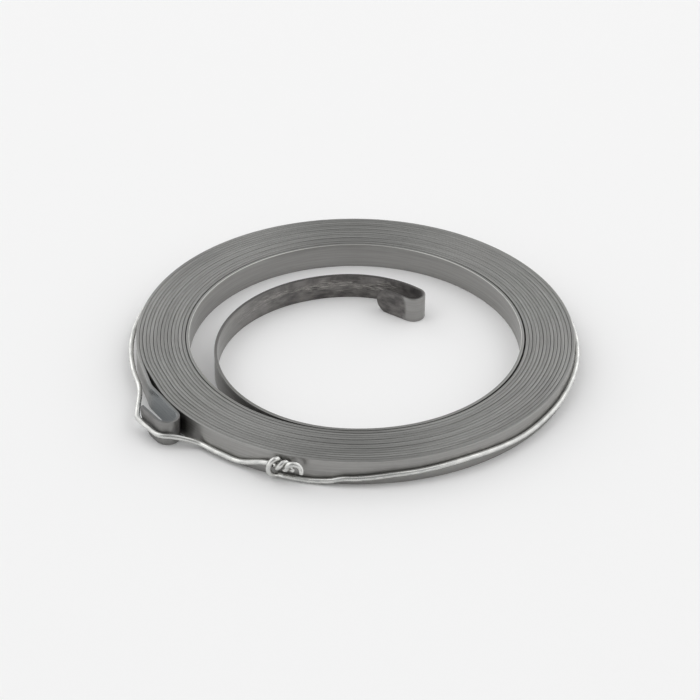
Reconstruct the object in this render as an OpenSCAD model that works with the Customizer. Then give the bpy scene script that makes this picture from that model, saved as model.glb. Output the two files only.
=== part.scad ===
// Recoil starter spring: a flat spiral spring of hardened steel strip, wound into a
// ring and held closed by a twisted retaining wire until it is fitted in its housing.
// Millimetres. The coil's axis is Z, and the strip's lower edge lies on z = 0.
// Angles are measured about the coil's axis, anticlockwise from +X.

/* [Strip] */
// Width of the strip, which is the height of the coil
strip_w = 5; // [4.5:0.25:9]
// Thickness of the strip
strip_t = 0.6; // [0.45:0.05:0.8]
// Radius of the inner end's round tip, past half of the strip's width
inner_tip_extra_r = 0.2; // [0.1:0.05:2]
// Radius of the outer end's round tip, past half of the strip's width
outer_tip_extra_r = 0.65; // [0.6:0.05:2]
// How far the outer end's round tip is centred above the middle of the strip
outer_tip_rise = 0.6; // [0:0.05:0.6]

/* [Coil] */
// Inner radius of the coil
coil_inner_r = 31; // [27:0.5:40]
// Whole turns in the coil, before the part turn that ends in the outer hook
coil_turns = 14; // [8:1:18]
// Gap between neighbouring turns
turn_gap = 0.06; // [0.05:0.01:0.2]
// Extra gap beside the innermost turn, at the side of the coil
inner_slack = 0.1; // [0:0.05:0.4]

/* [Inner end] */
// Angle for which the innermost turn runs on before the curl leaves it
curl_lead = 5; // [0:1:15]
// How much smaller the curl's long bend is than the coil, in radius
curl_inset = 5.7; // [4:0.1:7]
// How much smaller the curl's last bend is than its long bend, in radius
curl_tighten = 5.7; // [2:0.1:8]
// Angle turned through by the curl's long bend
curl_sweep = 169.5; // [150:0.5:180]
// Angle turned through by the curl's last bend
curl_end_sweep = 47; // [30:1:60]
// Inside radius of the inner hook
inner_hook_r = 1.7; // [1.2:0.1:2.5]
// Angle turned through by the inner hook
inner_hook_sweep = 173; // [160:1:180]
// Length of the inner hook's tail
inner_tail = 6.9; // [5:0.1:9]

/* [Outer end] */
// Angle at which the outer hook's leg passes closest to the coil
leg_angle = 212.5; // [200:0.5:216]
// How far the leg stands off the coil there, past the gap between turns
leg_lift = 0.2; // [0.05:0.01:0.5]
// Length of the leg before that point
leg_back = 4.2; // [2:0.1:5]
// Length of the leg after that point
leg_front = 4.9; // [3:0.1:6]
// Radius of the kink that turns the strip back to the coil
kink_r = 6; // [5:0.5:15]
// Inside radius of the outer hook
outer_hook_r = 1.7; // [1.2:0.1:2.5]
// Angle turned through by the outer hook
outer_hook_sweep = 176; // [165:1:180]
// Length of the outer hook's tail
outer_tail = 5.3; // [4.5:0.1:7]

/* [Retaining wire] */
// Diameter of the wire
wire_d = 1; // [0.6:0.05:1.2]
// Clearance between the wire and the strip
wire_clear = 0.05; // [0.04:0.01:0.2]
// Angle at which the two strands meet in the twist
twist_angle = 250.6; // [248:0.1:254]
// Height of the twist's axis
twist_z = 3.4; // [2.6:0.1:3.6]
// Length of the twist
twist_len = 4.7; // [4.4:0.1:5.5]
// Gap between the two strands of the twist, across its axis
twist_gap = 0.24; // [0.14:0.02:0.3]
// Slack of the wire round the outer hook
hook_slack = 0.05; // [0:0.05:0.3]

/* [Hidden] */
$fn = 96;

// Largest distance of a facet from its curve in the bent ends of the strip
facet_sag = 0.006;

// Spacing of the turns, and radius of the middle of the strip in the innermost half turn
pitch = strip_t + turn_gap;
first_r = coil_inner_r + strip_t / 2;
half_turns = 2 * coil_turns + 1;

// The coil is a chain of half turns from the front of the coil. Each is wider by half the
// spacing than the one before, and their centres stand in turn on either side of the axis.
function half_turn_r(k) = first_r + k * pitch / 2 + (k > 0 ? inner_slack : 0);
function half_turn_y(k) = (k % 2 == 0 ? 1 : -1) * pitch / 4 + (k == 0 ? inner_slack : 0);

// A pose is a point on the strip's middle line and the direction of travel, [x, y, heading].
// A stretch is [radius, angle] for a bend, to the left above zero, or [0, length] for a straight.
function along(angle) = [cos(angle), sin(angle)];
function left_of(angle) = [-sin(angle), cos(angle)];
function place(pose) = [pose.x, pose.y];
function centre(pose, bend) = place(pose) + sign(bend[1]) * bend[0] * left_of(pose.z);
function part_way(pose, stretch, share) =
    let (done = share * stretch[1],
         turn = stretch[0] > 0 ? done : 0,
         p = stretch[0] > 0
            ? centre(pose, stretch) - sign(stretch[1]) * stretch[0] * left_of(pose.z + done)
            : place(pose) + done * along(pose.z))
    [p.x, p.y, pose.z + turn];
function steps(stretch) =
    stretch[0] > 0 ? ceil(abs(stretch[1]) / (2 * acos(1 - facet_sag / stretch[0]))) : 1;

// Poses from a first pose along a list of stretches, and the pose at the start of each stretch
function trail(pose, stretches, i = 0) =
    i == len(stretches) ? [pose] : concat(
        [for (j = [0 : steps(stretches[i]) - 1]) part_way(pose, stretches[i], j / steps(stretches[i]))],
        trail(part_way(pose, stretches[i], 1), stretches, i + 1));
function starts(pose, stretches, i = 0) =
    i == len(stretches) ? [pose] : concat(
        [pose], starts(part_way(pose, stretches[i], 1), stretches, i + 1));

// Inner end: from the front of the coil, clockwise, to the tip of the inner tail
curl_r = first_r - curl_inset;
inner_start = [0, half_turn_y(0) - first_r, 180];
inner_end = [
    [first_r, -curl_lead],
    [curl_r, -curl_sweep],
    [curl_r - curl_tighten, -curl_end_sweep],
    [inner_hook_r + strip_t / 2, -inner_hook_sweep],
    [0, inner_tail],
];

// Outer end: from the left of the coil, anticlockwise, to the tip of the outer tail. The leg is
// a straight that passes the coil at leg_angle, and the straight before the kink touches both
// the last half turn and the kink.
last_r = half_turn_r(half_turns);
last_centre = [0, half_turn_y(half_turns)];
leg_heading = leg_angle + 90;
kink_end = last_centre + (last_r + leg_lift) * along(leg_angle) - leg_back * along(leg_heading);
kink_arm = kink_end + kink_r * left_of(leg_heading) - last_centre;
lift_heading = 270 + atan2(kink_arm.y, kink_arm.x) + acos((kink_r - last_r) / norm(kink_arm));
outer_start = [-last_r, last_centre.y, 270];
outer_end = [
    [last_r, lift_heading - 270],
    [0, sqrt(pow(norm(kink_arm), 2) - pow(last_r - kink_r, 2))],
    [kink_r, leg_heading - lift_heading],
    [0, leg_back + leg_front],
    [outer_hook_r + strip_t / 2, -outer_hook_sweep],
    [0, outer_tail],
];

// A bent end of the strip, with its tip rounded
module strip_end(start, stretches, tip_extra_r, tip_rise) {
    poses = trail(start, stretches);
    tip = poses[len(poses) - 1];
    tip_r = strip_w / 2 + tip_extra_r;
    difference() {
        linear_extrude(strip_w)
            polygon(concat(
                [for (p = poses) place(p) + strip_t / 2 * left_of(p.z)],
                [for (i = [len(poses) - 1 : -1 : 0]) place(poses[i]) - strip_t / 2 * left_of(poses[i].z)]));
        translate([tip.x, tip.y, strip_w / 2 + tip_rise])
            rotate([0, 0, tip.z])
                translate([-tip_r, 0, 0])
                    difference() {
                        translate([0, -strip_t, -strip_w])
                            cube([2 * tip_r, 2 * strip_t, 2 * strip_w]);
                        rotate([90, 0, 0])
                            cylinder(r = tip_r, h = 3 * strip_t, center = true);
                    }
    }
}

// Part of a half turn of the coil, from its start
module coil_arc(k, sweep) {
    translate([0, half_turn_y(k), 0])
        rotate([0, 0, k % 2 == 0 ? -90 : 90])
            rotate_extrude(angle = sweep)
                translate([half_turn_r(k) - strip_t / 2, 0])
                    square([strip_t, strip_w]);
}

module spring_strip() {
    color("#979692") union() {
        for (k = [0 : half_turns - 1])
            coil_arc(k, 180);
        coil_arc(half_turns, 90);
        strip_end(inner_start, inner_end, inner_tip_extra_r, 0);
        strip_end(outer_start, outer_end, outer_tip_extra_r, outer_tip_rise);
    }
}

// Wire: the strand that goes round the coil starts at the end of the twist, loops down from
// it, goes round the coil and the outer hook, and comes back as the twist's second strand.
wire_r = wire_d / 2;
wire_off = wire_r + wire_clear;
twist_r = wire_r + twist_gap / 2;
twist_off = twist_r + wire_off;
wall_r = half_turn_r(half_turns - 2) + strip_t / 2;

// Route round the coil, past the twist: angle, height as a share of the strip's width, and
// how far the wire stands off the coil
route = [
    [258, 0.12, 0], [262, 0.16, 0], [268, 0.33, 0], [282, 0.47, 0], [298, 0.54, 0], [318, 0.42, 0],
    [330, 0.46, 0], [345, 0.52, 0], [450, 0.5, 0], [510, 0.5, 0.05], [535, 0.5, 0.4], [559, 0.48, 0.45],
];
route_step = 3;
foot_step = 1.5;
bend_step = 10;
curve_steps = 9;

function mix(a, b, share) = a + (b - a) * share;
function ease(share) = share * share * (3 - 2 * share);
function unit(v) = v / norm(v);

// Half turn that forms the outside of the coil at an angle past the twist. Where the outer hook
// has left it, the coil is one turn less.
hook_clear = leg_angle + 367.5;
function outside(angle) =
    angle < 270 || angle > hook_clear ? half_turns - 2 : angle < 450 ? half_turns - 1 : half_turns;
function on_wall(angle, off, z) =
    let (r = half_turn_r(outside(angle)) + strip_t / 2 + off)
    [r * cos(angle), half_turn_y(outside(angle)) + r * sin(angle), max(z, wire_off)];
function on_route(angle, i = 0) =
    i < len(route) - 2 && angle > route[i + 1][0] ? on_route(angle, i + 1) :
    let (share = ease((angle - route[i][0]) / (route[i + 1][0] - route[i][0])),
         row = mix(route[i], route[i + 1], share))
    on_wall(angle, wire_off + row[2], row[1] * strip_w);

// A smooth curve between two points with a heading at each
function curve(p, p_heading, q, q_heading, share) =
    let (u = along(p_heading), v = along(q_heading), l = norm([q.x - p.x, q.y - p.y]),
         h = ease(share), a = share * pow(1 - share, 2) * l, b = share * share * (share - 1) * l)
    [mix(p.x, q.x, h) + a * u.x + b * v.x, mix(p.y, q.y, h) + a * u.y + b * v.y, mix(p.z, q.z, h)];

// A point beside the twist's start, by the distance along the coil, and a point of a strand in the
// twist, which is wound as far as the arch at its end
arch_start = 0.34 * twist_len + 1.2 * wire_r;
arch_turn = 360;
function beside_twist(run, off, z) = on_wall(twist_angle + run / wall_r * 180 / PI, off, z);
function in_twist(run, from, r) =
    let (turn = from + (arch_turn - 90) * run / arch_start)
    beside_twist(run, twist_off + r * cos(turn), twist_z + r * sin(turn));

// First strand: from its free end over the arch, which is squarer on that side and leans to the
// coil there, and back through the twist to its top
arch_steps = 12;
arch_rise = 2.85 * wire_r;
arch_lean = 0.2 * wire_r;
arch_sway = 0.5 * wire_r;
arch_drop = 0.8;
arch_z = twist_z + twist_r * sin(arch_turn);
arch_off = twist_off + twist_r * cos(arch_turn);
arch = [for (i = [0 : arch_steps - 1])
    let (
        turn = 180 * i / arch_steps,
        square = turn < 90 ? 0.7 : 1,
        up = pow(sin(turn), square),
        share = (1 - sign(cos(turn)) * pow(abs(cos(turn)), square)) / 2
    )
    beside_twist(
        mix(twist_len, arch_start, share),
        arch_off - arch_lean * up - arch_sway * sin(2 * turn),
        mix(twist_z - arch_drop, arch_z, share) + arch_rise * up)];
strand_steps = 14;
loop_rise = 0.8 * wire_r;
loop_fade = 0.6;
function first_radius(run) = twist_r + loop_rise * (1 - ease(min(1, run / loop_fade)));
first_strand = [for (i = [strand_steps : -1 : 0])
    let (run = arch_start * i / strand_steps)
    in_twist(run, 90, first_radius(run))];

// Loop: from the top of the twist, round in front of the other strand, down to the coil's foot
loop_steps = 12;
loop_low = route[0][1] * strip_w;
loop_high = twist_z + twist_r + loop_rise;
loop_r = (loop_high - loop_low) / 2;
loop_reach = 0.5 + 1.2 * wire_r;
loop_bulge = 0.5 + 1.2 * wire_r;
loop = [for (i = [1 : loop_steps])
    let (share = i / loop_steps, turn = 90 + 180 * share)
    beside_twist(
        loop_reach * cos(turn),
        mix(twist_off, wire_off, share) + loop_bulge * sin(180 * share),
        (loop_high + loop_low) / 2 + loop_r * sin(turn))];

// Round the coil, from below the twist to where the wire leaves the coil for the outer hook
low_run = [for (angle = [twist_angle + foot_step : foot_step : route[0][0] - foot_step / 2])
    on_wall(angle, wire_off, loop_low)];
round_coil = [for (angle = [route[0][0] : route_step : route[len(route) - 1][0]]) on_route(angle)];

// Round the outer hook: round the tip of its tail, along the tail, round the bend and back to the coil
hook_poses = starts(outer_start, outer_end);
hook_bend = hook_poses[4];
hook_tail = hook_poses[5];
hook_off = wire_off + hook_slack;
hook_centre = centre(hook_bend, outer_end[4]);
hook_r = outer_end[4][0] + strip_t / 2 + hook_off;
tail_z = 0.5 * strip_w;
tip_turn = 30;
hook_wrap = 50;
return_angle = 589.5;
return_z = 0.23 * strip_w;
leave = round_coil[len(round_coil) - 1];
leave_heading = route[len(route) - 1][0] + 90;
tail_heading = hook_tail.z + 180;
function round_point(c, r, turn) =
    let (p = c + r * along(hook_tail.z + 90 + turn))
    [p.x, p.y, tail_z];
tip_corner = place(hook_poses[6]) + strip_t / 2 * left_of(hook_tail.z);
tip_entry = round_point(tip_corner, hook_off, -tip_turn);
to_tip = [for (i = [1 : curve_steps])
    curve(leave, leave_heading, tip_entry, tail_heading - tip_turn, i / curve_steps)];
round_tip = [for (turn = [bend_step - tip_turn : bend_step : 0]) round_point(tip_corner, hook_off, turn)];
round_hook = [for (turn = [0 : bend_step : hook_wrap]) round_point(hook_centre, hook_r, turn)];
hook_exit = round_hook[len(round_hook) - 1];
back_on_coil = on_wall(return_angle, wire_off, return_z);
to_coil = [for (i = [1 : curve_steps])
    curve(hook_exit, tail_heading + hook_wrap, back_on_coil, return_angle + 90, i / curve_steps)];

// Back along the coil and into the twist, behind the loop
rise_angle = 600;
join_angle = twist_angle + 360;
join = in_twist(0, 270, twist_r);
lead_steps = 6;
lead_bow = 0.35;
second_steps = 16;
second_len = 0.66 * twist_len;
back_run = [for (angle = [return_angle + route_step : route_step : rise_angle - route_step / 2])
    on_wall(angle, wire_off, return_z)];
lead_in = [for (i = [0 : lead_steps - 1])
    let (share = i / lead_steps)
    on_wall(
        mix(rise_angle, join_angle, share),
        mix(wire_off, twist_off, pow(share, 7)),
        mix(return_z, join.z, ease(share)) + lead_bow * sin(180 * share))];
second_strand = [for (i = [0 : second_steps]) in_twist(second_len * i / second_steps, 270, twist_r)];

wire_path = concat(arch, first_strand, loop, low_run, round_coil, to_tip, round_tip, round_hook, to_coil,
    back_run, lead_in, second_strand);

// A round bar along a path, as rings of points square to it
bar_sides = 8;
module bar(path, r) {
    last = len(path) - 1;
    points = [for (i = [0 : last])
        let (t = unit(path[min(i + 1, last)] - path[max(i - 1, 0)]),
             out = unit([path[i].x, path[i].y, 0]),
             n = unit(out - (out * t) * t),
             b = cross(t, n))
        for (j = [0 : bar_sides - 1])
            path[i] + r * (cos(360 * j / bar_sides) * n + sin(360 * j / bar_sides) * b)];
    sides = [for (i = [0 : last - 1], j = [0 : bar_sides - 1])
        let (a = i * bar_sides + j, b = i * bar_sides + (j + 1) % bar_sides)
        each [[a, b, b + bar_sides], [a, b + bar_sides, a + bar_sides]]];
    ends = [
        [for (j = [bar_sides - 1 : -1 : 0]) j],
        [for (j = [0 : bar_sides - 1]) last * bar_sides + j],
    ];
    polyhedron(points, concat(sides, ends));
}

module retaining_wire() {
    color("#c4c6c6") bar(wire_path, wire_r);
}

spring_strip();
retaining_wire();
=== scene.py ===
"""Looks of a recoil starter spring: steel strip wound into a ring and tied with a wire.

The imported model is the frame. Two surfaces take the place of its two solids: the strip, a
rounded section carried along the spiral, and the wire, a round section carried along its
route. Sizes are in millimetres and angles in degrees until a mesh is made.
"""
from __future__ import annotations

import logging
import math
from dataclasses import dataclass, field, fields
from enum import Enum
from typing import Any

import bpy
import numpy as np
from mathutils import Matrix, Vector


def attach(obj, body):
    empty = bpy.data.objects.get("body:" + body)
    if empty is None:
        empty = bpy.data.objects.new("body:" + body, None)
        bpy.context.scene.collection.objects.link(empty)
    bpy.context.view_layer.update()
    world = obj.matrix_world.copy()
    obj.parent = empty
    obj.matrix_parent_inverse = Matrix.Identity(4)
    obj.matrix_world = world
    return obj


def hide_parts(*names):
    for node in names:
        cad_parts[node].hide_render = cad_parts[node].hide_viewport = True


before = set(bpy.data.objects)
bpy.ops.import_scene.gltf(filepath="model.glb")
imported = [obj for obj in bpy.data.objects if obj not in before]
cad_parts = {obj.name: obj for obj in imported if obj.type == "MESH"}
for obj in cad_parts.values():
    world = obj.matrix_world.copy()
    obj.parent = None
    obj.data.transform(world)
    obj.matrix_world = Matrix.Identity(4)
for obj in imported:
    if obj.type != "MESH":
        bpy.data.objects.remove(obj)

LOG = logging.getLogger("starter_spring")
MM = 0.001
MAP_NAME = "along_and_round"
Array = np.ndarray
Span = tuple[float, float]
Waves = tuple[tuple[float, float, float], ...]


class Node(Enum):
    """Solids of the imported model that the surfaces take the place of."""

    STRIP = "spring_strip"
    WIRE = "retaining_wire"


class Slot(Enum):
    """Material slots of the record."""

    STEEL = "spring_steel"
    ZINC = "galvanised_wire"


class Mark(Enum):
    """Values kept on the strip's points for its finish."""

    # Heat scale and the dull outer hook, and also the painted shadow of the wire on the outer tail
    HEAT_AND_SHADOW = "heat_scale_and_shadow"
    BLUE = "blue_tint"
    EDGE = "sheared_edge"
    # Painted highlight: brighter colour along the upper inner edge of the curl and the innermost turn
    RIM_HIGHLIGHT = "painted_rim_highlight"
    SCUFF = "scuffed_scale"


def along(angle: Array) -> Array:
    """Unit vectors in the plane at the given angles, in degrees."""
    turn = np.radians(angle)
    return np.stack([np.cos(turn), np.sin(turn)], axis=-1)


def left_of(angle: Array) -> Array:
    """Unit vectors a quarter turn to the left of the given headings."""
    return along(np.asarray(angle) + 90.0)


def ease(share: Array) -> Array:
    """Smooth step from 0 to 1, flat at both ends: three squares less two cubes of the share."""
    held = np.clip(share, 0.0, 1.0)
    return held * held * (3.0 - 2.0 * held)


def rising(value: Array, start: Array, length: Array) -> Array:
    """Share that eases from 0 at the start to 1 a length further on."""
    return ease((value - start) / length)


def fading(value: Array, start: Array, length: Array) -> Array:
    """Share that eases from 1 at the start to 0 a length further on."""
    return 1.0 - rising(value, start, length)


def hump(value: Array, centre: float, spread: float) -> Array:
    """Bell that is 1 at the centre: e to the power of minus the square of the spreads away from it."""
    return np.exp(-((value - centre) / spread) ** 2)


def facing(heading: Array, wanted: float, spread: float) -> Array:
    """Bell over the headings near a wanted one, on every turn."""
    return hump((heading - wanted + 180.0) % 360.0, 180.0, spread)


def waved(angle: Array, rows: Waves) -> Array:
    """Sum of waves: each row's share, times the sine of its rate times the angle plus its start."""
    share, rate, start = np.array(rows).T
    return np.sin(np.multiply.outer(angle, rate) + start) @ share


def mix(first: Array, last: Array, share: Array) -> Array:
    """Straight blend from the first value to the last."""
    return first + (last - first) * share


def unit(vectors: Array) -> Array:
    """Vectors of length 1 in the same directions."""
    return vectors / np.linalg.norm(vectors, axis=-1, keepdims=True)


def linear_colour(code: str) -> tuple[float, float, float, float]:
    """Linear colour of an sRGB hex value.

    Args:
        code: colour as "#rrggbb".

    Returns:
        Red, green, blue and an alpha of 1, each from 0 to 1.
    """
    channels = [int(code[i:i + 2], 16) / 255.0 for i in (1, 3, 5)]
    red, green, blue = [c / 12.92 if c <= 0.04045 else ((c + 0.055) / 1.055) ** 2.4 for c in channels]
    return red, green, blue, 1.0


@dataclass(frozen=True)
class Stretch:
    """A bend or a straight of the strip's middle line.

    radius is zero for a straight. amount is the angle of a bend, to the left above zero, or
    the length of a straight. steps is how many pieces it is drawn with.
    """

    radius: float
    amount: float
    steps: int

    def points(self, start: Array, share: Array) -> Array:
        """Points along the stretch, by formula: a bend turns its start about its centre.

        Args:
            start: x, y and heading where the stretch begins.
            share: shares of the stretch, from 0 to 1.

        Returns:
            Rows of x, y and heading.
        """
        if self.radius == 0.0:
            places = start[:2] + np.outer(self.amount * share, along(start[2]))
            return np.column_stack([places, np.full(share.shape, start[2])])
        side = math.copysign(self.radius, self.amount)
        headings = start[2] + self.amount * share
        places = start[:2] + side * left_of(start[2]) - side * left_of(headings)
        return np.column_stack([places, headings])

    def end(self, start: Array) -> Array:
        """Where the stretch ends."""
        return self.points(start, np.ones(1))[0]


def trail(start: Array, stretches: list[Stretch]) -> Array:
    """Chains stretches, each from the end of the one before.

    Args:
        start: x, y and heading of the first point.
        stretches: bends and straights in order.

    Returns:
        Rows of x, y and heading, from the first point to the last.
    """
    rows = []
    for stretch in stretches:
        rows.append(stretch.points(start, np.arange(stretch.steps) / stretch.steps))
        start = stretch.end(start)
    return np.concatenate([*rows, start[None]])


def run_along(points: Array) -> Array:
    """Distance from the first point, along the points."""
    return np.concatenate([[0.0], np.cumsum(np.linalg.norm(np.diff(points, axis=0), axis=1))])


@dataclass
class Sweep:
    """A section carried along a path: a closed grid with one ring of points per station.

    rings holds the points as stations by section points, run the distance along the path of
    each station, and around the distance round the section of each of its points.
    """

    name: str
    rings: Array
    run: Array
    around: Array
    marks: dict[Mark, Array] = field(default_factory=dict)

    def normals(self) -> Array:
        """Outward normals: the step round the section crossed with the step along the path.

        Returns:
            A unit vector for each point.
        """
        forward = np.gradient(self.rings, axis=0)
        turning = np.roll(self.rings, -1, axis=1) - np.roll(self.rings, 1, axis=1)
        return unit(np.cross(turning, forward))

    def faces(self) -> tuple[Array, Array]:
        """Four-sided faces of the grid, and the two rings that close its ends.

        Returns:
            Rows of four point numbers, and the point numbers of the first and last ring, each
            in the order in which its face points outwards.
        """
        stations, sides = self.rings.shape[:2]
        number = np.arange(stations * sides).reshape(stations, sides)
        beside = np.roll(number, -1, axis=1)
        quads = np.stack([number[:-1], beside[:-1], beside[1:], number[1:]], axis=-1)
        return quads.reshape(-1, 4), np.stack([number[0, ::-1], number[-1]])

    def corner_map(self) -> Array:
        """Map of the faces: distance along the path, and round the section with no seam.

        Returns:
            A row of two for each corner of each four-sided face.
        """
        sides = self.rings.shape[1]
        seam = np.linalg.norm(self.rings[1, 0] - self.rings[1, -1])
        further = np.append(self.around[1:], self.around[-1] + seam)
        here, there = [np.broadcast_to(r[:, None], (len(r), sides)) for r in (self.run[:-1], self.run[1:])]
        low, high = [np.broadcast_to(a, here.shape) for a in (self.around, further)]
        corners = [(here, low), (here, high), (there, high), (there, low)]
        return np.stack([np.stack(pair, axis=-1) for pair in corners], axis=2).reshape(-1, 2)

    def build(self) -> bpy.types.Object:
        """Makes the mesh, with its normals, map and marks, and links its object.

        Returns:
            The new object, at the origin.
        """
        quads, caps = self.faces()
        points = self.rings.reshape(-1, 3)
        mesh = bpy.data.meshes.new(self.name)
        mesh.from_pydata((points * MM).tolist(), [], quads.tolist() + caps.tolist())
        mesh.polygons.foreach_set("use_smooth", np.ones(len(mesh.polygons), bool))
        sides = self.rings.shape[1]
        ends = unit(np.stack([self.rings[0] - self.rings[1], self.rings[-1] - self.rings[-2]]).mean(axis=1))
        round_it = self.normals().reshape(-1, 3)[quads.ravel()]
        mesh.normals_split_custom_set(np.concatenate([round_it, np.repeat(ends, sides, axis=0)]).tolist())
        flat = np.zeros((2 * sides, 2))
        layer = mesh.uv_layers.new(name=MAP_NAME)
        layer.uv.foreach_set("vector", np.concatenate([self.corner_map(), flat]).astype(np.float32).ravel())
        for mark, values in self.marks.items():
            kept = mesh.attributes.new(mark.value, "FLOAT", "POINT")
            kept.data.foreach_set("value", np.ascontiguousarray(values, np.float32).ravel())
        mesh.validate()
        piece = bpy.data.objects.new(self.name, mesh)
        bpy.context.scene.collection.objects.link(piece)
        return piece


@dataclass(frozen=True)
class Tip:
    """Round end of the strip: a circle through the end, centred above the strip's middle by rise."""

    radius: float
    rise: float = 0.0
    first_turn: float = 8.0
    cuts: int = 12

    def stations(self, width: float) -> Array:
        """Distances from the end at which the strip is cut, close together where it is round."""
        low, high = math.radians(self.first_turn), math.asin((width / 2.0 + self.rise) / self.radius)
        return self.radius * (1.0 - np.cos(np.linspace(low, high, self.cuts)))

    def rows(self, width: float, end: Array, root: Array) -> Array:
        """Poses at the stations, from the end towards the root, which is one radius away."""
        return end + (root - end) * self.stations(width)[:, None] / self.radius

    def heights(self, width: float, from_end: Array) -> tuple[Array, Array]:
        """Lower and upper edge of the strip, from its middle, by the circle's chord.

        Args:
            width: width of the strip.
            from_end: distances from the end.

        Returns:
            Heights of the lower edge and of the upper edge.
        """
        inward = np.maximum(self.radius - from_end, 0.0)
        half = np.sqrt(self.radius ** 2 - inward ** 2)
        return np.maximum(self.rise - half, -width / 2.0), np.minimum(self.rise + half, width / 2.0)


@dataclass(frozen=True)
class Wear:
    """Where the strip's finish changes.

    Each span is a distance from an end at which a mark starts to rise or fade, and the length
    over which it does. Each band is a height above the strip's middle and its spread.
    """

    # From the inner end: heat scale, the bare outside of the hook, scuffs, and the painted highlight along
    # the upper inner edge
    scale_from: float = 32.0
    scale_fade: float = 36.0
    scale_edge_fade: float = 90.0
    bare_share: float = 0.9
    bare_lead: float = 0.4
    bare_bow: float = 0.9
    bare_rise: float = 0.5
    bare_fade: float = 3.0
    scuff_rise: Span = (14.0, 6.0)
    scuff_fade: Span = (50.0, 16.0)
    scuff_band: Span = (0.4, 1.3)
    # Painted highlight along the upper inner edge of the curl and the innermost turn, from the inner end
    highlight_rise: Span = (60.0, 30.0)
    highlight_fade: Span = (310.0, 20.0)
    rim_edge: Span = (0.1, 0.95)
    # From the outer end: the painted shadow of the wire on the outer tail, the dull outside and edges, and
    # the blue tint
    shadow_fade: Span = (3.0, 3.0)
    shadow_band: Span = (0.9, 1.0)
    dull_tail: float = 0.7
    dull_hook: float = 0.25
    dull_hook_edge: float = 0.2
    dull_edge: float = 0.5
    dull_tail_fade: Span = (4.0, 4.0)
    dull_fade: Span = (16.0, 8.0)
    blue_fade: Span = (18.0, 8.0)
    blue_edge_loss: float = 0.4
    blue_outside: float = 0.15


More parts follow.
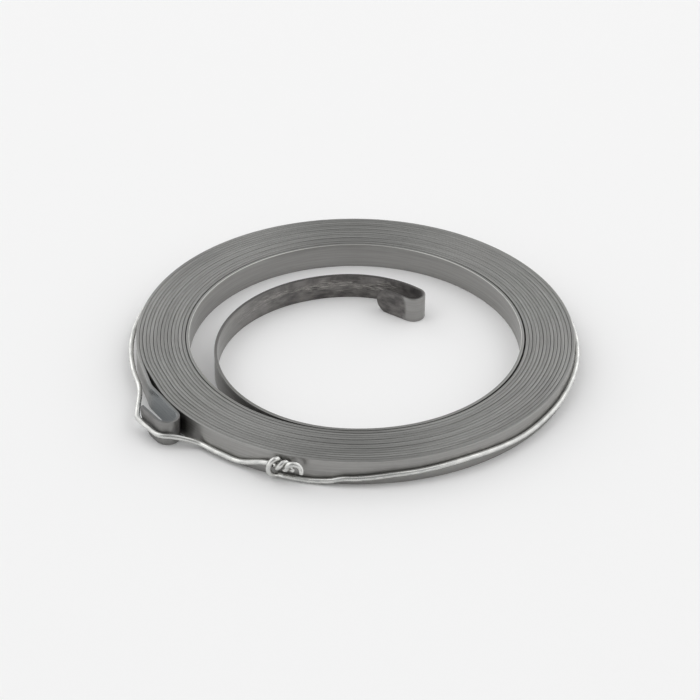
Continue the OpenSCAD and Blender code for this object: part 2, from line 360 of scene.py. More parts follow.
@dataclass
class SpringStrip:
    """The spiral spring: a length of strip, wound into a ring, with a hook at each end."""

    strip_w: float = 5.0
    strip_t: float = 0.6
    inner_tip: Tip = Tip(2.7)
    outer_tip: Tip = Tip(4.4, 1.8)
    edge_r: float = 0.14
    coil_inner_r: float = 31.0
    coil_turns: int = 14
    turn_gap: float = 0.06
    inner_slack: float = 0.1
    curl_lead: float = 5.0
    curl_inset: float = 5.7
    curl_tighten: float = 5.7
    curl_sweep: float = 169.5
    curl_end_sweep: float = 47.0
    inner_hook_r: float = 1.7
    inner_hook_sweep: float = 173.0
    inner_tail: float = 6.9
    leg_angle: float = 212.5
    leg_lift: float = 0.2
    leg_back: float = 4.2
    leg_front: float = 4.9
    kink_r: float = 6.0
    outer_hook_r: float = 1.7
    outer_hook_sweep: float = 176.0
    outer_tail: float = 5.3
    half_turn_steps: int = 96
    corner_points: int = 4
    face_steps: int = 6
    wander: float = 0.018
    edge_drop: float = 0.05
    edge_drop_start: float = 3.0
    loose_turn: float = 0.12
    loose_rise: Span = (20.0, 60.0)
    loose_fade: Span = (330.0, 70.0)
    hook_bulge: float = 0.12
    bulge_place: Span = (7.0, 10.0)
    bulge_turns: Span = (7.8, 6.0)
    kink_dent: float = 0.24
    dent_place: Span = (-9.5, 6.0)
    dent_turns: Span = (1.8, 12.0)
    wear: Wear = Wear()

    # Share, rate and start of each wave, none of which fits a whole number of times into a turn
    WANDER_WAVES = ((0.6, 2.37, 0.0), (0.4, 5.71, 1.3))
    EDGE_WAVES = ((0.28, 1.47, 0.0), (0.22, 3.43, 0.8))

    @property
    def pitch(self) -> float:
        """Spacing of the turns."""
        return self.strip_t + self.turn_gap

    @property
    def first_r(self) -> float:
        """Radius of the strip's middle in the innermost half turn."""
        return self.coil_inner_r + self.strip_t / 2.0

    @property
    def half_turns(self) -> int:
        """Number of the last half turn, which is cut short by the outer hook."""
        return 2 * self.coil_turns + 1

    def half_turn_r(self, number: Array) -> Array:
        """Radius of a half turn: each is wider by half the spacing than the one before."""
        slack = np.where(np.asarray(number) > 0, self.inner_slack, 0.0)
        return self.first_r + number * self.pitch / 2.0 + slack

    def half_turn_y(self, number: Array) -> Array:
        """Centre of a half turn, in turn on either side of the axis."""
        side = np.where(np.asarray(number) % 2 == 0, 1.0, -1.0)
        return side * self.pitch / 4.0 + np.where(np.asarray(number) == 0, self.inner_slack, 0.0)

    def inner_end(self) -> Array:
        """Middle line from the tip of the inner tail, through the hook and the curl, to the coil.

        Returns:
            Rows of x, y and heading.
        """
        curl_r = self.first_r - self.curl_inset
        start = np.array([0.0, float(self.half_turn_y(0)) - self.first_r, 180.0])
        rows = trail(start, [
            Stretch(self.first_r, -self.curl_lead, 4),
            Stretch(curl_r, -self.curl_sweep, 110),
            Stretch(curl_r - self.curl_tighten, -self.curl_end_sweep, 32),
            Stretch(self.inner_hook_r + self.strip_t / 2.0, -self.inner_hook_sweep, 32),
            Stretch(0.0, self.inner_tail - self.inner_tip.radius, 8),
            Stretch(0.0, self.inner_tip.radius, 1),
        ])
        return rows[::-1] + np.array([0.0, 0.0, -180.0])

    def coil(self) -> Array:
        """Middle line of the coil, from the front to its left, where the outer end begins.

        Returns:
            Rows of x, y and heading, which keeps growing from turn to turn.
        """
        start = np.array([0.0, float(self.half_turn_y(0)) - self.first_r, 0.0])
        steps = self.half_turn_steps
        whole = [Stretch(float(self.half_turn_r(k)), 180.0, steps) for k in range(self.half_turns)]
        last = Stretch(float(self.half_turn_r(self.half_turns)), 90.0, steps // 2)
        return trail(start, [*whole, last])

    def outer_stretches(self) -> list[Stretch]:
        """Stretches of the outer end, from the left of the coil.

        The leg is a straight that passes the coil at leg_angle. The straight before the kink
        touches both the last half turn and the kink.

        Returns:
            Bend, straight, kink, leg, hook and tail.
        """
        last_r = float(self.half_turn_r(self.half_turns))
        centre = np.array([0.0, float(self.half_turn_y(self.half_turns))])
        heading = self.leg_angle + 90.0
        kink_end = centre + (last_r + self.leg_lift) * along(self.leg_angle) - self.leg_back * along(heading)
        arm = kink_end + self.kink_r * left_of(heading) - centre
        reach = float(np.hypot(*arm))
        lean = math.degrees(math.atan2(arm[1], arm[0]) + math.acos((self.kink_r - last_r) / reach))
        lift_heading = 270.0 + lean
        lift = math.sqrt(reach ** 2 - (last_r - self.kink_r) ** 2)
        return [
            Stretch(last_r, lift_heading - 270.0, 10),
            Stretch(0.0, lift, 6),
            Stretch(self.kink_r, heading - lift_heading, 8),
            Stretch(0.0, self.leg_back + self.leg_front, 10),
            Stretch(self.outer_hook_r + self.strip_t / 2.0, -self.outer_hook_sweep, 32),
            Stretch(0.0, self.outer_tail - self.outer_tip.radius, 6),
            Stretch(0.0, self.outer_tip.radius, 1),
        ]

    def outer_start(self) -> Array:
        """Pose at the left of the coil, where the outer end begins."""
        last = self.half_turns
        return np.array([-float(self.half_turn_r(last)), float(self.half_turn_y(last)), 270.0])

    def outer_end(self) -> Array:
        """Middle line from the left of the coil to the tip of the outer tail."""
        return trail(self.outer_start(), self.outer_stretches())

    def stray(self, heading: Array) -> Array:
        """How far the coil's turns lie inside the true spiral.

        Each turn strays a little by two waves, so that neighbours differ and the gaps between
        them vary. The innermost turn lies loose, a little inside its place. The outer turns lie
        in beside the kink, and bulge beside the leg, where the wire doesn't hold them.

        Args:
            heading: heading of the coil's middle line, which keeps growing from turn to turn.

        Returns:
            Distances to the left of the middle line.
        """
        wound, turns = np.radians(heading), heading / 360.0
        ends = rising(wound, 0.0, 2.0) * fading(wound, wound[-1] - 2.0, 2.0)
        loose = rising(heading, *self.loose_rise) * fading(heading, *self.loose_fade)
        at_leg = self.leg_angle + 90.0
        bulge_at, bulge_spread = self.bulge_place
        dent_at, dent_spread = self.dent_place
        first, count = self.dent_turns
        bulge = facing(heading, at_leg + bulge_at, bulge_spread) * rising(turns, *self.bulge_turns)
        dent = facing(heading, at_leg + dent_at, dent_spread) * np.clip((turns - first) / count, 0.0, 1.0)
        waves = self.wander * ends * waved(wound, self.WANDER_WAVES)
        return waves + self.loose_turn * loose - self.hook_bulge * bulge + self.kink_dent * dent

    def middle_line(self) -> tuple[Array, Array]:
        """The whole strip's middle line, with the strays of its turns.

        Returns:
            Rows of x, y and heading, and the angle wound from the start of the coil, in radians.
        """
        inner, coil, outer = self.inner_end(), self.coil(), self.outer_end()
        inner = np.concatenate([self.inner_tip.rows(self.strip_w, inner[0], inner[1]), inner[1:]])
        outer = np.concatenate([outer[:-1], self.outer_tip.rows(self.strip_w, outer[-1], outer[-2])[::-1]])
        wound = np.radians(coil[:, 2])
        coil[:, :2] += self.stray(coil[:, 2])[:, None] * left_of(coil[:, 2])
        outer[:, 2] += coil[-1, 2] - outer[0, 2]
        rows = np.concatenate([inner[:-1], coil[:-1], outer])
        angle = np.concatenate([np.zeros(len(inner) - 1), wound[:-1], np.full(len(outer), wound[-1])])
        return rows, angle

    def section(self) -> tuple[Array, Array, Array]:
        """Section of the strip: a rectangle with rounded corners, anticlockwise.

        The upper edge and the right face are laid out, and turned half round for the rest.

        Returns:
            Distance from the middle line to the left, height, and the share of edge from 0 on
            the broad faces to 1 on the upper and lower edges.
        """
        count = self.corner_points
        turn = np.radians(np.concatenate([np.linspace(0.0, 90.0, count), np.linspace(90.0, 180.0, count)]))
        flat = self.strip_w / 2.0 - self.edge_r
        corner = np.repeat([1.0, -1.0], count) * (self.strip_t / 2.0 - self.edge_r)
        face = np.linspace(flat, -flat, self.face_steps + 1)[1:-1]
        on_face = np.full(len(face), -self.strip_t / 2.0)
        across = np.concatenate([corner + self.edge_r * np.cos(turn), on_face])
        height = np.concatenate([flat + self.edge_r * np.sin(turn), face])
        edge = np.concatenate([np.sin(turn), np.zeros(len(face))])
        half = np.repeat([1.0, -1.0], len(across))
        return np.tile(across, 2) * half, np.tile(height, 2) * half, np.tile(edge, 2)

    def sweep(self) -> Sweep:
        """The strip as a swept section.

        A point lies its distance to the left of the middle line, and its height above the
        middle of the strip. Near a tip the height is drawn in to the circle of the tip, and
        round the coil the upper edge drops by two slow waves, as wound turns never lie level.

        Returns:
            The grid, with the marks for its finish.
        """
        rows, angle = self.middle_line()
        across, height, edge = self.section()
        run = run_along(rows[:, :2])
        width, half = self.strip_w, self.strip_w / 2.0
        inner = self.inner_tip.heights(width, run + self.inner_tip.stations(width)[0])
        outer = self.outer_tip.heights(width, run[-1] - run + self.outer_tip.stations(width)[0])
        low, high = np.maximum(inner[0], outer[0]), np.minimum(inner[1], outer[1])
        flat = half - self.edge_r
        core = np.clip(height, -flat, flat)
        span = (high - low)[:, None] - 2.0 * self.edge_r
        up = low[:, None] + self.edge_r + span * (core + flat) / (2.0 * flat) + height - core
        drop = self.edge_drop * (0.5 + waved(angle, self.EDGE_WAVES))
        drop = drop * rising(angle, 0.0, self.edge_drop_start)
        level = half + up - drop[:, None] * (0.5 + core / (2.0 * flat))
        sides = left_of(rows[:, 2])[:, None] * across[None, :, None]
        rings = np.concatenate([rows[:, None, :2] + sides, level[:, :, None]], axis=2)
        outline = np.column_stack([across, height])
        sweep = Sweep(Node.STRIP.value + "_turns", rings, run, run_along(outline))
        sweep.marks = self.marks(run, across, height, edge)
        return sweep

    def marks(self, run: Array, across: Array, height: Array, edge: Array) -> dict[Mark, Array]:
        """Where the finish changes along the strip.

        The inner end was heated to bend it: dark on the inside of the curl as far as its left
        side, on its edges a little further, and on the outside of the tail but not of the hook.
        The scale is scuffed pale inside the curl. The outer hook is blued inside, dull outside
        and on its edges, and carries a painted shadow of the wire just above it. A painted
        highlight runs along the upper inner edge of the curl and of the innermost turn.

        Args:
            run: distance of each station from the inner tip.
            across: distance of each section point from the middle line, inside the coil above zero.
            height: height of each section point above the middle of the strip.
            edge: share of edge of each section point.

        Returns:
            A value for each point of the grid, by mark.
        """
        wear = self.wear
        run = run[:, None]
        to_end = run[-1] - run
        inside = across > 0.0
        bend = math.radians(self.inner_hook_sweep) * (self.inner_hook_r + self.strip_t / 2.0)
        scale = fading(run, wear.scale_from, mix(wear.scale_fade, wear.scale_edge_fade, edge))
        bare_from = self.inner_tail - wear.bare_lead - wear.bare_bow * (2.0 * height / self.strip_w) ** 2
        bare = rising(run, bare_from, wear.bare_rise) * fading(run, self.inner_tail + bend, wear.bare_fade)
        heat = np.where(inside, scale, scale * (1.0 - wear.bare_share * bare))
        # Painted shadow: the wire's shadow and dark reflection on the outer tail just above it, in the
        # scale's colours
        painted_shadow = fading(to_end, *wear.shadow_fade) * hump(height, *wear.shadow_band) * inside
        # The outer hook bends outwards, so the side that faces inwards on the coil is its outside
        hooked = rising(to_end, *wear.dull_tail_fade)
        dull = mix(wear.dull_tail, wear.dull_hook + wear.dull_hook_edge * edge, hooked)
        dull = np.where(inside, dull, wear.dull_edge * edge) * fading(to_end, *wear.dull_fade)
        blue = np.where(inside, wear.blue_outside, 1.0 - wear.blue_edge_loss * edge)
        # Painted highlight: the upper inner edge is coloured brighter where light would catch it
        least, most = wear.rim_edge
        rim_highlight = rising(run, *wear.highlight_rise) * fading(run, *wear.highlight_fade)
        scuff = rising(run, *wear.scuff_rise) * fading(run, *wear.scuff_fade)
        return {
            # Heat scale and dull finish, with the painted shadow of the wire
            Mark.HEAT_AND_SHADOW: np.maximum(heat, np.maximum(painted_shadow, dull)),
            Mark.BLUE: blue * fading(to_end, *wear.blue_fade),
            Mark.EDGE: edge * np.ones_like(run),
            Mark.RIM_HIGHLIGHT: rim_highlight * (inside & (height > 0.0) & (edge > least) & (edge < most)),
            Mark.SCUFF: scuff * inside * (1.0 - edge) * hump(height, *wear.scuff_band),
        }


@dataclass
class RetainingWire:
    """The tie wire: round the coil and the outer hook, its two ends twisted together."""

    strip: SpringStrip
    wire_d: float = 1.0
    wire_clear: float = 0.05
    twist_angle: float = 250.6
    twist_z: float = 3.4
    twist_len: float = 4.7
    twist_gap: float = 0.24
    hook_slack: float = 0.05
    arch_start: float = 2.198
    arch_turn: float = 360.0
    arch_rise: float = 1.425
    arch_lean: float = 0.1
    arch_sway: float = 0.25
    arch_drop: float = 0.8
    arch_square: float = 0.7
    arch_steps: int = 12
    loop_rise: float = 0.4
    loop_fade: float = 0.6
    loop_reach: float = 1.1
    loop_bulge: float = 1.1
    loop_steps: int = 12
    tail_height: float = 0.5
    tip_turn: float = 30.0
    hook_wrap: float = 50.0
    return_angle: float = 589.5
    return_height: float = 0.23
    rise_angle: float = 600.0
    lead_bow: float = 0.35
    lead_hug: float = 7.0
    lead_steps: int = 6
    second_len: float = 3.102
    curve_steps: int = 9
    first_points: int = 15
    second_points: int = 17
    low_step: float = 1.5
    route_step: float = 3.0
    hook_step: float = 10.0
    bare_past: float = 7.5
    snip_draw: float = 0.35
    snip_len: float = 0.15
    sides: int = 16
    station_step: float = 0.3

    # Angle, height as a share of the strip's width, and how far the wire stands off the coil
    ROUTE = (
        (258.0, 0.12, 0.0), (262.0, 0.16, 0.0), (268.0, 0.33, 0.0), (282.0, 0.47, 0.0),
        (298.0, 0.54, 0.0), (318.0, 0.42, 0.0), (330.0, 0.46, 0.0), (345.0, 0.52, 0.0),
        (450.0, 0.5, 0.0), (510.0, 0.5, 0.05), (535.0, 0.5, 0.4), (559.0, 0.48, 0.45),
    )

    @property
    def wire_off(self) -> float:
        """Distance of the wire's middle from what it lies on."""
        return self.wire_d / 2.0 + self.wire_clear

    @property
    def twist_r(self) -> float:
        """Distance of each strand from the twist's axis."""
        return (self.wire_d + self.twist_gap) / 2.0

    @property
    def twist_off(self) -> float:
        """Distance of the twist's axis from the coil."""
        return self.twist_r + self.wire_off

    def on_wall(self, angle: Array, off: Array, z: Array) -> Array:
        """Points beside the coil's outside, by angle, distance from it and height.

        Args:
            angle: angle about the coil, in degrees, past the twist.
            off: distance from the outermost turn there.
            z: height, held to the wire's own size above the surface.

        Returns:
            Rows of x, y and z.
        """
        angle, off, z = np.broadcast_arrays(*[np.asarray(v, float) for v in (angle, off, z)])
        last = self.strip.half_turns
        bare = (angle < 270.0) | (angle > self.strip.leg_angle + 360.0 + self.bare_past)
        number = np.where(bare, last - 2, np.where(angle < 450.0, last - 1, last))
        reach = self.strip.half_turn_r(number) + self.strip.strip_t / 2.0 + off
        places = reach[..., None] * along(angle)
        return np.stack([places[..., 0], places[..., 1] + self.strip.half_turn_y(number),
                         np.maximum(z, self.wire_off)], axis=-1)

    def on_route(self, angle: Array) -> Array:
        """Points of the route round the coil, eased from each of its rows to the next.

        Args:
            angle: angles about the coil.

        Returns:
            Rows of x, y and z.
        """
        table = np.array(self.ROUTE)
        row = np.clip(np.searchsorted(table[:, 0], angle, side="left") - 1, 0, len(table) - 2)
        share = ease((angle - table[row, 0]) / (table[row + 1, 0] - table[row, 0]))[:, None]
        kept = mix(table[row], table[row + 1], share)
        return self.on_wall(angle, self.wire_off + kept[:, 2], kept[:, 1] * self.strip.strip_w)

    def beside_twist(self, run: Array, off: Array, z: Array) -> Array:
        """Points beside the coil, by the distance along it from the twist's start."""
        wall_r = float(self.strip.half_turn_r(self.strip.half_turns - 2)) + self.strip.strip_t / 2.0
        return self.on_wall(self.twist_angle + np.degrees(run / wall_r), off, z)

    def in_twist(self, run: Array, start: float, radius: Array) -> Array:
        """Points of a strand: a spiral about the twist's axis, which follows the coil.

        Args:
            run: distances along the twist.
            start: angle about the axis at which the strand begins.
            radius: distance from the axis.

        Returns:
            Rows of x, y and z.
        """
        turn = np.radians(start + (self.arch_turn - 90.0) * run / self.arch_start)
        across, up = radius * np.cos(turn), radius * np.sin(turn)
        return self.beside_twist(run, self.twist_off + across, self.twist_z + up)

    def curve(self, first: Array, first_heading: float, last: Array, last_heading: float) -> Array:
        """Smooth curve between two points with a heading at each, a cubic in the share of the way.

        Args:
            first: point that the curve leaves, which isn't repeated.
            first_heading: direction in which it leaves.
            last: point that it reaches.
            last_heading: direction in which it arrives.

        Returns:
            Rows of x, y and z, of which the last is the last point.
        """
        share = np.arange(1, self.curve_steps + 1)[:, None] / self.curve_steps
        span = np.hypot(*(last - first)[:2])
        points = mix(first, last, ease(share))
        points[:, :2] += span * share * (1.0 - share) ** 2 * along(first_heading)
        points[:, :2] += span * share ** 2 * (share - 1.0) * along(last_heading)
        return points

    def arch(self) -> Array:
        """From the free end up and over, squarer on that side and leaning to the coil at its top.

        Returns:
            Rows of x, y and z.
        """
        step = np.arange(self.arch_steps)
        turn = np.pi * step / self.arch_steps
        square = np.where(step < self.arch_steps / 2, self.arch_square, 1.0)
        up = np.sin(turn) ** square
        share = (1.0 - np.sign(np.cos(turn)) * np.abs(np.cos(turn)) ** square) / 2.0
        off = self.twist_off + self.twist_r - self.arch_lean * up - self.arch_sway * np.sin(2.0 * turn)
        foot = mix(self.twist_z - self.arch_drop, self.twist_z, share)
        run = mix(self.twist_len, self.arch_start, share)
        return self.beside_twist(run, off, foot + self.arch_rise * up)

    def first_strand(self) -> Array:
        """From the arch back through the twist to its top, where it rises into the loop."""
        run = self.arch_start * np.linspace(1.0, 0.0, self.first_points)
        return self.in_twist(run, 90.0, self.twist_r + self.loop_rise * fading(run, 0.0, self.loop_fade))

    def loop(self, low: float) -> Array:
        """From the top of the twist, round in front of the other strand, to the coil's foot.

        Args:
            low: height of the wire at the coil's foot.

        Returns:
            Rows of x, y and z.
        """
        high = self.twist_z + self.twist_r + self.loop_rise
        radius = (high - low) / 2.0
        share = np.arange(1, self.loop_steps + 1) / self.loop_steps
        turn = np.radians(90.0 + 180.0 * share)
        off = mix(self.twist_off, self.wire_off, share) + self.loop_bulge * np.sin(np.pi * share)
        height = (high + low) / 2.0 + radius * np.sin(turn)
        return self.beside_twist(self.loop_reach * np.cos(turn), off, height)

    def round_hook(self, leave: Array) -> Array:
        """From the coil round the tip of the outer tail, along it, round the hook and back.

        Args:
            leave: point at which the wire leaves the coil.

        Returns:
            Rows of x, y and z.
        """
        strip = self.strip
        stretches = strip.outer_stretches()
        poses = [strip.outer_start()]
        for stretch in stretches:
            poses.append(stretch.end(poses[-1]))
        bend, tail, tip = poses[4], poses[5], poses[-1]
        out = self.wire_off + self.hook_slack
        z = self.tail_height * strip.strip_w
        heading = tail[2] + 180.0

        def about(centre: Array, radius: float, turn: Array) -> Array:
            """Points about a centre, from square to the tail, at the tail's height."""
            places = centre + radius * along(tail[2] + 90.0 + np.asarray(turn, float))
            return np.column_stack([places, np.full(len(places), z)])

        corner = tip[:2] + strip.strip_t / 2.0 * left_of(tail[2])
        centre = bend[:2] - stretches[4].radius * left_of(bend[2])
        radius = stretches[4].radius + strip.strip_t / 2.0 + out
        round_tip = about(corner, out, np.arange(-self.tip_turn, 1.0, self.hook_step))
        round_bend = about(centre, radius, np.arange(0.0, self.hook_wrap + 1.0, self.hook_step))
        on_coil = self.on_wall(self.return_angle, self.wire_off, self.return_height * strip.strip_w)
        to_tip = self.curve(leave, self.ROUTE[-1][0] + 90.0, round_tip[0], heading - self.tip_turn)
        to_coil = self.curve(round_bend[-1], heading + self.hook_wrap, on_coil, self.return_angle + 90.0)
        return np.concatenate([to_tip, round_tip[1:], round_bend, to_coil])

    def lead_in(self) -> Array:
        """From the coil's foot up into the twist, behind the loop.

        Returns:
            Rows of x, y and z.
        """
        share = np.arange(self.lead_steps) / self.lead_steps
        low = self.return_height * self.strip.strip_w
        join = self.twist_z - self.twist_r
        height = mix(low, join, ease(share)) + self.lead_bow * np.sin(np.pi * share)
        angle = mix(self.rise_angle, self.twist_angle + 360.0, share)
        return self.on_wall(angle, mix(self.wire_off, self.twist_off, share ** self.lead_hug), height)

    def route(self) -> Array:
        """The wire's middle line from end to end, at the points by which it was laid out.

        Returns:
            Rows of x, y and z.
        """
        foot = self.ROUTE[0][1] * self.strip.strip_w
        near, step = self.low_step, self.route_step
        first, last = self.ROUTE[0][0], self.ROUTE[-1][0]
        low_angles = np.arange(self.twist_angle + near, first - near / 2.0, near)
        low_run = self.on_wall(low_angles, self.wire_off, foot)
        round_coil = self.on_route(np.arange(first, last + 0.1, step))
        back_angles = np.arange(self.return_angle + step, self.rise_angle - step / 2.0, step)
        back_run = self.on_wall(back_angles, self.wire_off, self.return_height * self.strip.strip_w)
        second_run = self.second_len * np.linspace(0.0, 1.0, self.second_points)
        second = self.in_twist(second_run, 270.0, self.twist_r)
        return np.concatenate([
            self.arch(), self.first_strand(), self.loop(foot), low_run, round_coil,
            self.round_hook(round_coil[-1]), back_run, self.lead_in(), second,
        ])

    def middle_line(self) -> Array:
        """The route made smooth: a cubic between each two points, with the slope of their neighbours.

        Returns:
            Rows of x, y and z, an even distance apart.
        """
        points = self.route()
        at = run_along(points)
        slope = np.gradient(points, at, axis=0)
        wanted = np.linspace(0.0, at[-1], int(at[-1] / self.station_step))
        i = np.clip(np.searchsorted(at, wanted, side="right") - 1, 0, len(at) - 2)
        span = (at[i + 1] - at[i])[:, None]
        share = ((wanted - at[i])[:, None]) / span
        line = mix(points[i], points[i + 1], ease(share))
        line += span * share * (1.0 - share) ** 2 * slope[i]
        return line + span * share ** 2 * (share - 1.0) * slope[i + 1]

    def sweep(self) -> Sweep:
        """The wire as a swept circle, square to its middle line, drawn in where it was snipped off.

        Returns:
            The grid.
        """
        line = self.middle_line()
        run = run_along(line)
        forward = unit(np.gradient(line, axis=0))
        out = np.column_stack([line[:, :2], np.zeros(len(line))])
        out = unit(out - np.sum(out * forward, axis=1, keepdims=True) * forward)
        side = np.cross(forward, out)
        turn = np.linspace(0.0, 2.0 * np.pi, self.sides, endpoint=False)
        from_end = np.minimum(run, run[-1] - run)
        radius = self.wire_d / 2.0 * (1.0 - self.snip_draw * np.exp(-from_end / self.snip_len))
        round_it = out[:, None] * np.cos(turn)[None, :, None] + side[:, None] * np.sin(turn)[None, :, None]
        rings = line[:, None] + radius[:, None, None] * round_it
        return Sweep(Node.WIRE.value + "_round", rings, run, turn * self.wire_d / 2.0)


def add_node(tree: bpy.types.NodeTree, kind: str, inputs: dict[Any, Any], **settings: Any) -> bpy.types.Node:
    """Adds a node to a tree.

    Args:
        tree: tree that gets the node.
        kind: the node's type.
        inputs: by input name or number, an output to link from or a value to set.
        settings: the node's own settings.

    Returns:
        The new node.
    """
    node = tree.nodes.new(kind)
    for name, value in settings.items():
        setattr(node, name, value)
    for key, value in inputs.items():
        if isinstance(value, bpy.types.NodeSocket):
            tree.links.new(value, node.inputs[key])
        else:
            node.inputs[key].default_value = value
    return node


@dataclass(frozen=True)
class Grain:
    """A pattern of streaks along a piece: noise, from 0 at its low value to 1 at its high one.

    length and width are the size of a streak in millimetres.
    """

    length: float
    width: float
    detail: float
    low: float
    high: float
    roughness: float = 0.6

    def build(self, tree: bpy.types.NodeTree, where: bpy.types.NodeSocket) -> bpy.types.NodeSocket:
        """Adds the pattern to a material.

        Args:
            tree: the material's tree.
            where: the map along and round the piece.

        Returns:
            The pattern's share.
        """
        scale = (1.0 / self.length, 1.0 / self.width, 1.0)
        placed = add_node(tree, "ShaderNodeMapping", {"Vector": where, "Scale": scale}).outputs["Vector"]
        noise = add_node(tree, "ShaderNodeTexNoise", {
            "Vector": placed, "Scale": 1.0, "Detail": self.detail, "Roughness": self.roughness,
        }).outputs["Fac"]
        return add_node(tree, "ShaderNodeMapRange", {
            "Value": noise, "From Min": self.low, "From Max": self.high,
        }, interpolation_type="SMOOTHSTEP").outputs["Result"]


@dataclass(frozen=True)
class SpringSteelFinish:
    """Spring steel strip, cold rolled, slit, hardened and tempered.

    To the eye: satin grey with fine lines along the strip from the rolls, slit edges that
    are rubbed bright in places and dull in others, a dark mottled scale with pale scuffs where
    the inner end was heated to bend it, and a blue-grey tint on the outer hook. A painted
    highlight runs along the upper inner edge of the curl and the innermost turn, and the
    scale's colours also paint the wire's shadow on the outer tail.
    """

    name: str = "spring_steel_cold_rolled"
    steel: str = "#a6a5a3"
    steel_dark: str = "#9a9997"
    edge_bright: str = "#9f9f9d"
    edge_dull: str = "#858583"
    # Colour of the painted highlight along the upper inner edge
    rim_highlight: str = "#c9c9c5"
    # The scale's colours also paint the wire's shadow on the outer tail
    scale_dark: str = "#504e4d"
    scale_pale: str = "#7e7b79"
    scuff: str = "#b8b5af"
    blue: str = "#85898b"
    blue_dark: str = "#75797b"
    # The rolls' lines are a few hundredths of a millimetre apart. They are drawn coarser to show.
    lines: Grain = Grain(14.0, 0.25, 3.0, 0.3, 0.7)
    tone: Grain = Grain(28.0, 2.0, 3.0, 0.36, 0.64)
    fine: Grain = Grain(2.5, 0.15, 2.0, 0.3, 0.7)
    mottle: Grain = Grain(3.2, 1.6, 4.0, 0.32, 0.7)
    patch: Grain = Grain(9.0, 1.2, 2.0, 0.36, 0.6)
    scratch: Grain = Grain(1.6, 0.12, 4.0, 0.46, 0.62)
    fine_share: float = 0.4
    rough_low: float = 0.32
    rough_high: float = 0.41
    edge_rough: float = 0.45
    scale_rough: float = 0.5
    blue_rough: float = 0.24
    scale_metal: float = 0.6
    # The rolls' lines spread light across the strip, a quarter turn from the map's direction
    spread: float = 0.6
    spread_turn: float = 0.25
    line_strength: float = 0.15
    line_depth_mm: float = 0.01
    none: float = 0.0
    full: float = 1.0

    # Each row makes its first name: a blend, by the share named second, from the third to the fourth
    VALUES = (
        ("patches", Mark.SCUFF.value, "none", "patch"),
        ("scuffs", "patches", "none", "scratch"),
        ("edge_tone", "fine_share", "tone", "fine"),
        ("scale_tone", Mark.EDGE.value, "mottle", "none"),
        ("rolled_rough", "lines", "rough_low", "rough_high"),
        ("strip_rough", Mark.EDGE.value, "rolled_rough", "edge_rough"),
        ("heated_rough", Mark.HEAT_AND_SHADOW.value, "strip_rough", "scale_rough"),
        ("seen_rough", Mark.BLUE.value, "heated_rough", "blue_rough"),
        ("seen_metal", Mark.HEAT_AND_SHADOW.value, "full", "scale_metal"),
    )
    COLOURS = (
        ("rolled", "lines", "steel", "steel_dark"),
        ("slit", "edge_tone", "edge_dull", "edge_bright"),
        ("strip", Mark.EDGE.value, "rolled", "slit"),
        ("scale", "scale_tone", "scale_dark", "scale_pale"),
        ("scuffed", "scuffs", "scale", "scuff"),
        # This blend toward the scale also lays the painted shadow of the wire
        ("heated", Mark.HEAT_AND_SHADOW.value, "strip", "scuffed"),
        ("blued", "lines", "blue", "blue_dark"),
        ("tinted", Mark.BLUE.value, "heated", "blued"),
        # Last, the painted highlight along the upper inner edge
        ("seen", Mark.RIM_HIGHLIGHT.value, "tinted", "rim_highlight"),
    )

    def build(self) -> bpy.types.Material:
        """Makes the material.

        Returns:
            A metal whose colour and gloss follow the strip's map and marks.
        """
        material = bpy.data.materials.new(self.name)
        material.use_nodes = True
        tree = material.node_tree
        shader = tree.nodes["Principled BSDF"]
        where = add_node(tree, "ShaderNodeUVMap", {}, uv_map=MAP_NAME).outputs["UV"]
        made: dict[str, Any] = {}
        for mark in Mark:
            kept = add_node(tree, "ShaderNodeAttribute", {}, attribute_name=mark.value)
            made[mark.value] = kept.outputs["Fac"]
        for item in fields(self):
            value = getattr(self, item.name)
            if isinstance(value, Grain):
                value = value.build(tree, where)
            elif isinstance(value, str) and value.startswith("#"):
                value = linear_colour(value)
            made[item.name] = value
        for name, share, first, last in self.VALUES:
            ends = {0: made[share], 2: made[first], 3: made[last]}
            made[name] = add_node(tree, "ShaderNodeMix", ends).outputs[0]
        for name, share, first, last in self.COLOURS:
            ends = {0: made[share], 6: made[first], 7: made[last]}
            made[name] = add_node(tree, "ShaderNodeMix", ends, data_type="RGBA").outputs[2]
        bump = add_node(tree, "ShaderNodeBump", {
            "Height": made["lines"], "Strength": self.line_strength, "Distance": self.line_depth_mm * MM,
        })
        tangent = add_node(tree, "ShaderNodeTangent", {}, direction_type="UV_MAP", uv_map=MAP_NAME)
        tree.links.new(made["seen"], shader.inputs["Base Color"])
        tree.links.new(made["seen_rough"], shader.inputs["Roughness"])
        tree.links.new(made["seen_metal"], shader.inputs["Metallic"])
        tree.links.new(bump.outputs["Normal"], shader.inputs["Normal"])
        tree.links.new(tangent.outputs["Tangent"], shader.inputs["Tangent"])
        shader.inputs["Anisotropic"].default_value = self.spread
        shader.inputs["Anisotropic Rotation"].default_value = self.spread_turn
        return material


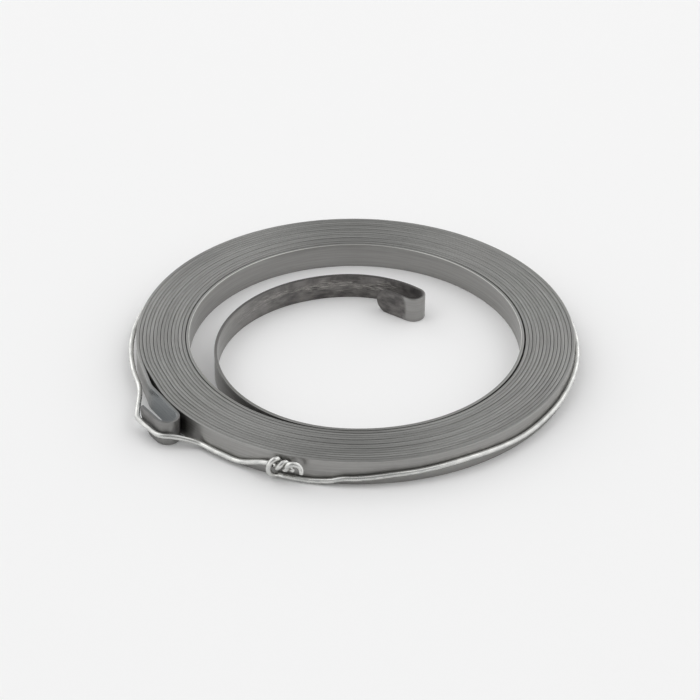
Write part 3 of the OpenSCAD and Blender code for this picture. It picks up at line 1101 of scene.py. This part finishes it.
@dataclass(frozen=True)
class GalvanisedFinish:
    """Soft steel wire, drawn and hot-dip galvanised.

    To the eye: a bright, slightly cool grey that shines along its upper side, with duller
    patches where the zinc was rubbed in twisting and faint lines along it from the die.
    """

    name: str = "galvanised_wire_drawn"
    bright: str = "#ddddda"
    dull: str = "#c3c4c2"
    patches: Grain = Grain(2.2, 2.2 / 3.0, 3.0, 0.35, 0.68, 0.5)
    lines: Grain = Grain(6.0, 0.2, 3.0, 0.35, 0.68, 0.5)
    rough_low: float = 0.2
    rough_high: float = 0.32
    line_strength: float = 0.3
    line_depth_mm: float = 0.01

    def build(self) -> bpy.types.Material:
        """Makes the material.

        Returns:
            A metal with duller patches and lines along the wire.
        """
        material = bpy.data.materials.new(self.name)
        material.use_nodes = True
        tree = material.node_tree
        shader = tree.nodes["Principled BSDF"]
        shader.inputs["Metallic"].default_value = 1.0
        where = add_node(tree, "ShaderNodeUVMap", {}, uv_map=MAP_NAME).outputs["UV"]
        patches = self.patches.build(tree, where)
        colour = add_node(tree, "ShaderNodeMix", {
            0: patches, 6: linear_colour(self.bright), 7: linear_colour(self.dull),
        }, data_type="RGBA")
        gloss = add_node(tree, "ShaderNodeMix", {0: patches, 2: self.rough_low, 3: self.rough_high})
        bump = add_node(tree, "ShaderNodeBump", {
            "Height": self.lines.build(tree, where), "Strength": self.line_strength,
            "Distance": self.line_depth_mm * MM,
        })
        tree.links.new(colour.outputs[2], shader.inputs["Base Color"])
        tree.links.new(gloss.outputs[0], shader.inputs["Roughness"])
        tree.links.new(bump.outputs["Normal"], shader.inputs["Normal"])
        return material


@dataclass(frozen=True)
class Softbox:
    """A square light aimed at the coil, in metres, with the brightness of its face."""

    name: str
    place: tuple[float, float, float]
    size: float
    radiance: float

    def build(self) -> None:
        """Makes the light."""
        light = bpy.data.lights.new(self.name, "AREA")
        light.shape = "SQUARE"
        light.size = self.size
        light.energy = self.radiance * math.pi * self.size ** 2
        lamp = bpy.data.objects.new(self.name, light)
        place = Vector(self.place)
        aim = (-place).to_track_quat("-Z", "Y").to_matrix().to_4x4()
        lamp.matrix_world = Matrix.Translation(place) @ aim
        bpy.context.scene.collection.objects.link(lamp)


@dataclass
class Studio:
    """White floor, soft lights high and behind at either side, and a surround brighter at the sides."""

    floor_colour: str = "#f8f8f8"
    floor_roughness: float = 0.9
    floor_specular: float = 0.2
    floor_half: float = 3.0
    sides: float = 1.15
    overhead: float = 0.7
    front: float = 0.5
    front_way: tuple[float, float, float] = (0.0, -0.83, 0.56)
    aside_range: Span = (0.2, 0.7)
    front_range: Span = (0.6, 0.95)
    softboxes: tuple[Softbox, ...] = (
        Softbox("softbox_left", (-0.45, -0.1, 0.8), 0.6, 0.5),
        Softbox("softbox_right", (0.45, -0.1, 0.8), 0.6, 0.5),
        Softbox("softbox_back_left", (-0.5, 0.75, 0.4), 0.6, 0.6),
        Softbox("softbox_back_right", (0.5, 0.75, 0.4), 0.6, 0.6),
    )

    def build(self) -> None:
        """Makes the floor, the lights and the surround."""
        self.make_floor()
        for softbox in self.softboxes:
            softbox.build()
        self.make_surround()

    def make_floor(self) -> None:
        """Makes the floor that the coil's lower edges lie on."""
        half = self.floor_half
        corners = [(-half, -half, 0.0), (half, -half, 0.0), (half, half, 0.0), (-half, half, 0.0)]
        mesh = bpy.data.meshes.new("floor")
        mesh.from_pydata(corners, [], [(0, 1, 2, 3)])
        floor = bpy.data.objects.new("floor", mesh)
        bpy.context.scene.collection.objects.link(floor)
        paper = bpy.data.materials.new("white_paper_matt")
        paper.use_nodes = True
        shader = paper.node_tree.nodes["Principled BSDF"]
        shader.inputs["Base Color"].default_value = linear_colour(self.floor_colour)
        shader.inputs["Roughness"].default_value = self.floor_roughness
        shader.inputs["Specular IOR Level"].default_value = self.floor_specular
        mesh.materials.append(paper)

    def make_surround(self) -> None:
        """Makes the world: bright at the left and right, and dimmer overhead and where the camera stands."""
        world = bpy.data.worlds.new("white_surround")
        world.use_nodes = True
        tree = world.node_tree
        back = tree.nodes["Background"]
        back.inputs["Color"].default_value = (1.0, 1.0, 1.0, 1.0)
        towards = add_node(tree, "ShaderNodeTexCoord", {}).outputs["Generated"]
        right = add_node(tree, "ShaderNodeSeparateXYZ", {0: towards}).outputs["X"]
        aside = add_node(tree, "ShaderNodeMath", {0: right}, operation="ABSOLUTE")
        level = add_node(tree, "ShaderNodeMapRange", {
            "Value": aside.outputs[0], "From Min": self.aside_range[0], "From Max": self.aside_range[1],
            "To Min": self.overhead, "To Max": self.sides,
        }, interpolation_type="SMOOTHSTEP")
        ahead = add_node(tree, "ShaderNodeVectorMath", {
            0: towards, 1: self.front_way,
        }, operation="DOT_PRODUCT")
        shade = add_node(tree, "ShaderNodeMapRange", {
            "Value": ahead.outputs["Value"], "From Min": self.front_range[0],
            "From Max": self.front_range[1], "To Min": 1.0, "To Max": self.front,
        }, interpolation_type="SMOOTHSTEP")
        strength = add_node(tree, "ShaderNodeMath", {
            0: level.outputs["Result"], 1: shade.outputs["Result"],
        }, operation="MULTIPLY")
        tree.links.new(strength.outputs[0], back.inputs["Strength"])
        bpy.context.scene.world = world


@dataclass
class PhotoCamera:
    """Camera at the photograph's angle, in millimetres, degrees and pixels of a square picture."""

    elevation: float = 34.19
    distance: float = 516.2
    target_x: float = -0.15
    focal_px: float = 2737.6
    picture_px: float = 700.0
    axis_px: tuple[float, float] = (355.44, 354.39)
    roll: float = 0.64
    sensor: float = 36.0
    clip_m: Span = (0.01, 20.0)

    def build(self) -> None:
        """Makes the camera and sets it as the scene's.

        It stands in front of the ring and is aimed a little off the ring's centre, so that the
        centre falls on its pixel with no shift of the lens.
        """
        data = bpy.data.cameras.new("photo_camera")
        data.sensor_width = self.sensor
        data.lens = self.focal_px / self.picture_px * self.sensor
        data.clip_start, data.clip_end = self.clip_m
        raised = math.radians(self.elevation)
        back = Vector((0.0, -math.cos(raised), math.sin(raised)))
        up = Vector((0.0, math.sin(raised), math.cos(raised)))
        centre = Vector((self.target_x, 0.0, 0.0))
        place = centre + self.distance * back
        per_px = self.distance / self.focal_px
        right_px, down_px = [p - self.picture_px / 2.0 for p in self.axis_px]
        aim = centre + per_px * (down_px * up - right_px * Vector((1.0, 0.0, 0.0)))
        look = (aim - place).to_track_quat("-Z", "Y").to_matrix().to_4x4()
        camera = bpy.data.objects.new("photo_camera", data)
        rolled = Matrix.Rotation(math.radians(self.roll), 4, "Z")
        camera.matrix_world = Matrix.Translation(place * MM) @ look @ rolled
        bpy.context.scene.collection.objects.link(camera)
        bpy.context.scene.camera = camera


def dress(sweep: Sweep, material: bpy.types.Material, node: Node) -> None:
    """Makes a swept piece with its finish in the place of a solid.

    Args:
        sweep: the piece's grid.
        material: its finish.
        node: solid that it takes the place of.
    """
    piece = sweep.build()
    piece.data.materials.append(material)
    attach(piece, "root")
    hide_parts(node.value)
    LOG.info("%s: %d faces, %.0f mm along", piece.name, len(piece.data.polygons), sweep.run[-1])


def main() -> None:
    """Builds the camera, the two pieces and the studio."""
    logging.basicConfig(level=logging.INFO, format="%(name)s: %(message)s")
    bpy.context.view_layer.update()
    PhotoCamera().build()
    strip = SpringStrip()
    dress(strip.sweep(), SpringSteelFinish().build(), Node.STRIP)
    dress(RetainingWire(strip).sweep(), GalvanisedFinish().build(), Node.WIRE)
    Studio().build()
    bpy.context.scene.view_settings.view_transform = "Standard"


if __name__ == "__main__":
    main()
